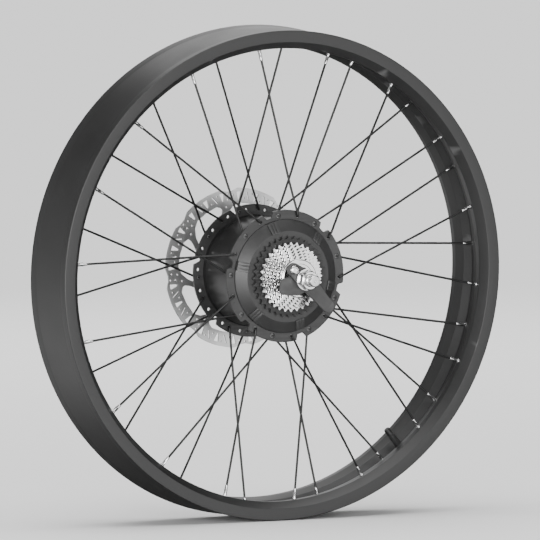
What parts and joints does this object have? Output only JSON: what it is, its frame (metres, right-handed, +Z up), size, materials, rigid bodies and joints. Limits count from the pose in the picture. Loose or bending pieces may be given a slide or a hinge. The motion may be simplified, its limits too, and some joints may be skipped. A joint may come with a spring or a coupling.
{
  "type": "hub motor wheel",
  "caption": "Wide spoked rear wheel with a geared hub motor, a freewheel and a torque arm on one side and a slotted brake rotor on the other.",
  "frame": {"origin": "centre of the rim, on the axle's centre line", "axes": "+Y along the axle towards the brake side, the freewheel at -Y, +Z up"},
  "size_m": [0.5788, 0.2486, 0.58],
  "materials": {
    "rim_black": "satin dark grey anodised",
    "valve_rubber": "matt",
    "cap_plastic": "matt",
    "spoke_black": "black oxide wire with bright nipples",
    "shell_black": "satin black paint over cast alloy",
    "cover_grey": "satin dark grey paint over cast alloy",
    "rotor_steel": "brushed stainless",
    "steel_black": "satin dark grey",
    "sprocket_black": "satin black",
    "sprocket_silver": "bright plated steel",
    "bearing_steel": "ground steel",
    "chrome_fastener": "bright plated",
    "machined_steel": "turned steel",
    "lamination": "stacked electrical steel",
    "copper_enamel": "enamelled copper",
    "magnet_nickel": "nickel plated magnets",
    "carrier_alloy": "machined",
    "gear_nylon": "natural nylon",
    "seal_rubber": "matt"
  },
  "bodies": {
    "axle": {"axle_shaft": "machined_steel", "stator_core": "lamination", "stator_windings": "copper_enamel", "planet_carrier": "carrier_alloy", "bearing_brake_inner": "bearing_steel", "bearing_drive_inner": "bearing_steel", "locknut_drive": "machined_steel", "locknut_brake": "machined_steel", "lug_plate": "steel_black", "torque_arm": "steel_black", "torque_arm_bolt": "chrome_fastener", "washer_drive": "chrome_fastener", "nut_drive": "chrome_fastener", "nut_brake": "chrome_fastener", "cable_gland": "seal_rubber", "dust_seal_brake": "seal_rubber"},
    "wheel": {"rim": "rim_black", "valve_stem": "valve_rubber", "valve_cap": "cap_plastic", "spoke_pair_drive_1": "spoke_black", "spoke_pair_drive_2": "spoke_black", "spoke_pair_drive_3": "spoke_black", "spoke_pair_drive_4": "spoke_black", "spoke_pair_drive_5": "spoke_black", "spoke_pair_drive_6": "spoke_black", "spoke_pair_drive_7": "spoke_black", "spoke_pair_drive_8": "spoke_black", "spoke_pair_drive_9": "spoke_black", "spoke_pair_brake_1": "spoke_black", "spoke_pair_brake_2": "spoke_black", "spoke_pair_brake_3": "spoke_black", "spoke_pair_brake_4": "spoke_black", "spoke_pair_brake_5": "spoke_black", "spoke_pair_brake_6": "spoke_black", "spoke_pair_brake_7": "spoke_black", "spoke_pair_brake_8": "spoke_black", "spoke_pair_brake_9": "spoke_black", "hub_shell": "shell_black", "drive_cover": "cover_grey", "ring_gear": "machined_steel", "brake_rotor": "rotor_steel", "rotor_lockring": "steel_black", "bearing_brake_outer": "bearing_steel", "bearing_drive_outer": "bearing_steel"},
    "freewheel": {"freehub_body": "machined_steel", "sprocket_1": "sprocket_black", "sprocket_2": "sprocket_silver", "sprocket_3": "sprocket_silver", "sprocket_4": "sprocket_silver", "sprocket_5": "sprocket_silver", "sprocket_6": "sprocket_silver", "sprocket_7": "sprocket_silver", "cassette_lockring": "sprocket_silver"},
    "motor_rotor": {"rotor_can": "machined_steel", "magnet_ring": "magnet_nickel", "sun_gear": "machined_steel"},
    "planet_1": {"planet_gear_1": "gear_nylon"},
    "planet_2": {"planet_gear_2": "gear_nylon"},
    "planet_3": {"planet_gear_3": "gear_nylon"}
  },
  "joints": [
    {"name": "wheel_spin", "type": "hinge", "parent": "axle", "child": "wheel", "pos_m": [0, 0, 0], "axis": [0, 1, 0], "continuous": true},
    {"name": "freewheel_spin", "type": "hinge", "parent": "wheel", "child": "freewheel", "pos_m": [0, 0, 0], "axis": [0, 1, 0], "continuous": true},
    {"name": "motor_spin", "type": "hinge", "parent": "axle", "child": "motor_rotor", "pos_m": [0, 0, 0], "axis": [0, 1, 0], "continuous": true},
    {"name": "planet_1_spin", "type": "hinge", "parent": "axle", "child": "planet_1", "pos_m": [0, -0.019, 0.03375], "axis": [0, 1, 0], "continuous": true},
    {"name": "planet_2_spin", "type": "hinge", "parent": "axle", "child": "planet_2", "pos_m": [-0.02923, -0.019, -0.01688], "axis": [0, 1, 0], "continuous": true},
    {"name": "planet_3_spin", "type": "hinge", "parent": "axle", "child": "planet_3", "pos_m": [0.02923, -0.019, -0.01688], "axis": [0, 1, 0], "continuous": true}
  ],
  "couplings": [
    {"joint": "motor_spin", "follows": "wheel_spin", "ratio": -4},
    {"joint": "planet_1_spin", "follows": "wheel_spin", "ratio": 2.6667},
    {"joint": "planet_2_spin", "follows": "wheel_spin", "ratio": 2.6667},
    {"joint": "planet_3_spin", "follows": "wheel_spin", "ratio": 2.6667}
  ]
}
